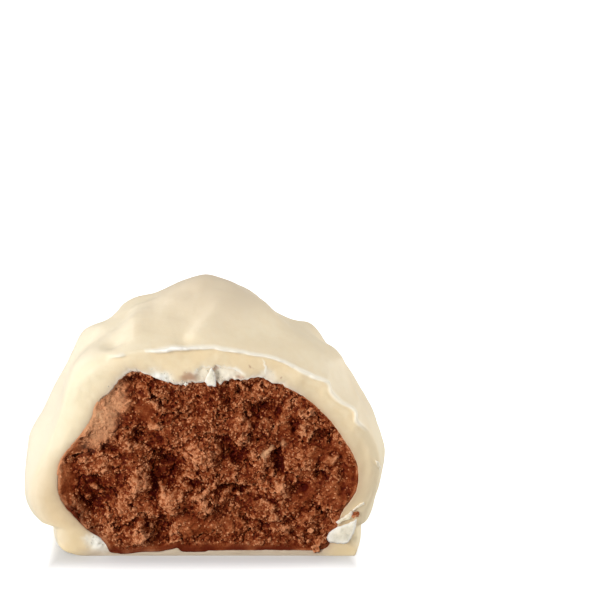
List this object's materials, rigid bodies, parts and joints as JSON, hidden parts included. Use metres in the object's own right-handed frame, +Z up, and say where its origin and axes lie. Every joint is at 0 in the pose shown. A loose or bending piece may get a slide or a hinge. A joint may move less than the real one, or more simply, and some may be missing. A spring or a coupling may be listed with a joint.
{
  "type": "praline rocher",
  "caption": "Cut-open dome-shaped sweet: a craggy white chocolate coating round a core of crumbly praline, resting on a flat base.",
  "frame": {"origin": "on the surface it stands on, under the middle of the piece's bounding box", "axes": "+Z up; +X across the cut, to the right as one faces it; +Y from the cut back into the sweet"},
  "size_m": [0.0436, 0.0298, 0.0314],
  "materials": {
    "white_chocolate": "satin",
    "praline": "matte"
  },
  "bodies": {
    "root": {"coating": "white_chocolate", "praline_core": "praline"}
  },
  "joints": []
}
